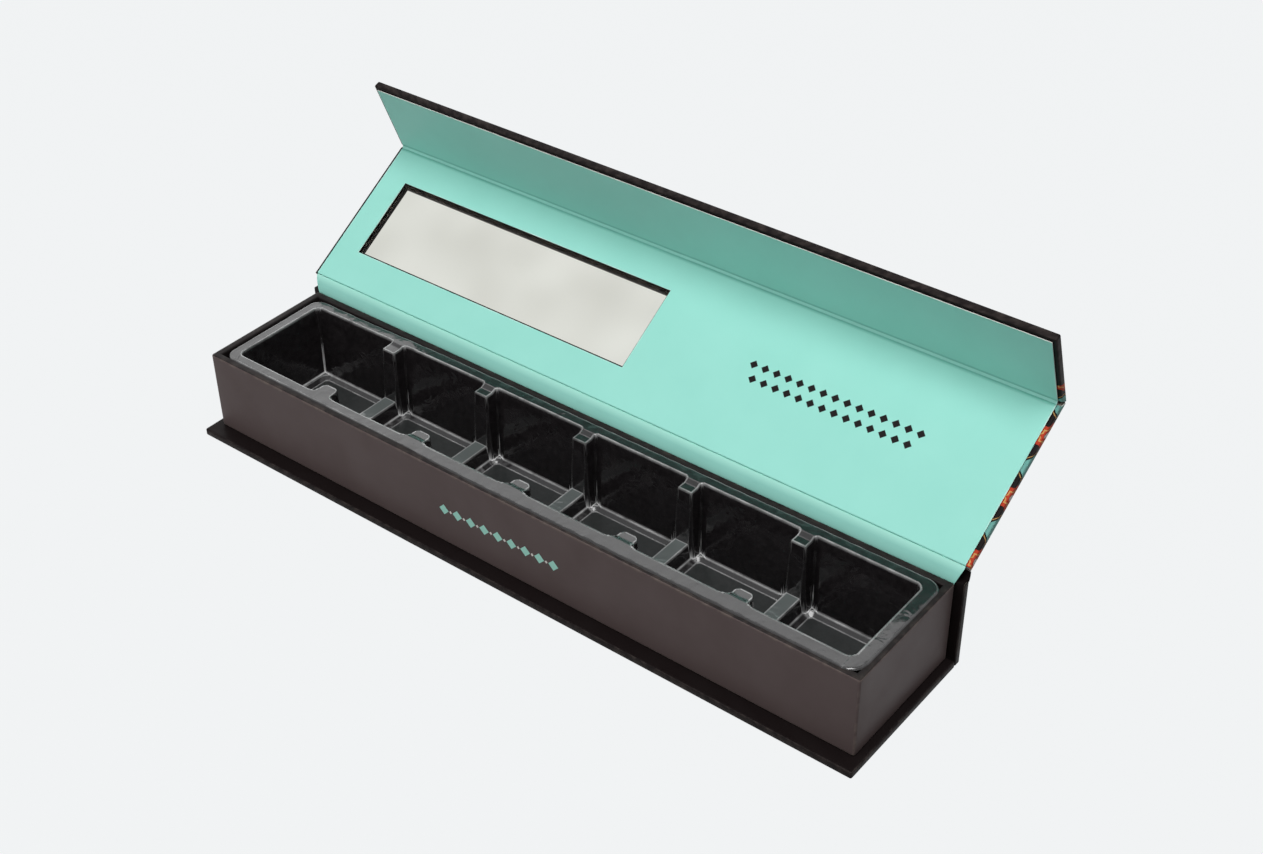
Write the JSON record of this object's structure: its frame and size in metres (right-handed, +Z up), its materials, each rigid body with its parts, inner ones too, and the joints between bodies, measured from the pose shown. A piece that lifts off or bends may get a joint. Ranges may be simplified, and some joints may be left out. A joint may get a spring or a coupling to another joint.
{
  "type": "rigid gift box",
  "caption": "Long low book-style rigid gift box: hinged lid with a clear window and a fold-down magnetic front flap, over a wrapped tray that holds a formed insert of cavities.",
  "frame": {"origin": "the middle of the underside of the base, where the box stands", "axes": "+X along the box to the right, +Y from the front of the base to the spine, +Z up"},
  "size_m": [0.2452, 0.101, 0.089],
  "materials": {
    "greyboard": "matte",
    "case_paper": "satin",
    "lining_paper": "satin",
    "tray_paper": "satin",
    "corner_tape": "matte",
    "steel": "satin",
    "insert_plastic": "gloss",
    "window_film": "gloss"
  },
  "bodies": {
    "box": {"base_board": "greyboard", "base_wrap": "case_paper", "spine_board": "greyboard", "spine_wrap": "case_paper", "spine_lining": "lining_paper", "lid_hinge_wrap": "case_paper", "lid_hinge_lining": "lining_paper", "tray_bottom": "greyboard", "tray_front_wall": "greyboard", "tray_rear_wall": "greyboard", "tray_left_wall": "greyboard", "tray_right_wall": "greyboard", "tray_wrap": "tray_paper", "tray_floor_paper": "tray_paper", "tray_magnet_left": "steel", "tray_magnet_right": "steel", "corner_stay_front_left": "corner_tape", "corner_stay_front_right": "corner_tape", "corner_stay_rear_left": "corner_tape", "corner_stay_rear_right": "corner_tape", "insert": "insert_plastic"},
    "lid": {"lid_board": "greyboard", "lid_wrap": "case_paper", "lid_lining": "lining_paper", "window_film": "window_film"},
    "flap": {"flap_board": "greyboard", "flap_wrap": "case_paper", "flap_lining": "lining_paper", "flap_plate_left": "steel", "flap_plate_right": "steel"}
  },
  "joints": [
    {"name": "lid_hinge", "type": "hinge", "parent": "box", "child": "lid", "pos_m": [0, 0.0273, 0.0324], "axis": [1, 0, 0], "range_deg": [-52, 148], "deforming": ["lid_hinge_wrap", "lid_hinge_lining"]},
    {"name": "flap_fold", "type": "hinge", "parent": "lid", "child": "flap", "pos_m": [0, 0.07373, 0.06141], "axis": [1, 0, 0], "range_deg": [-79, 11]}
  ]
}
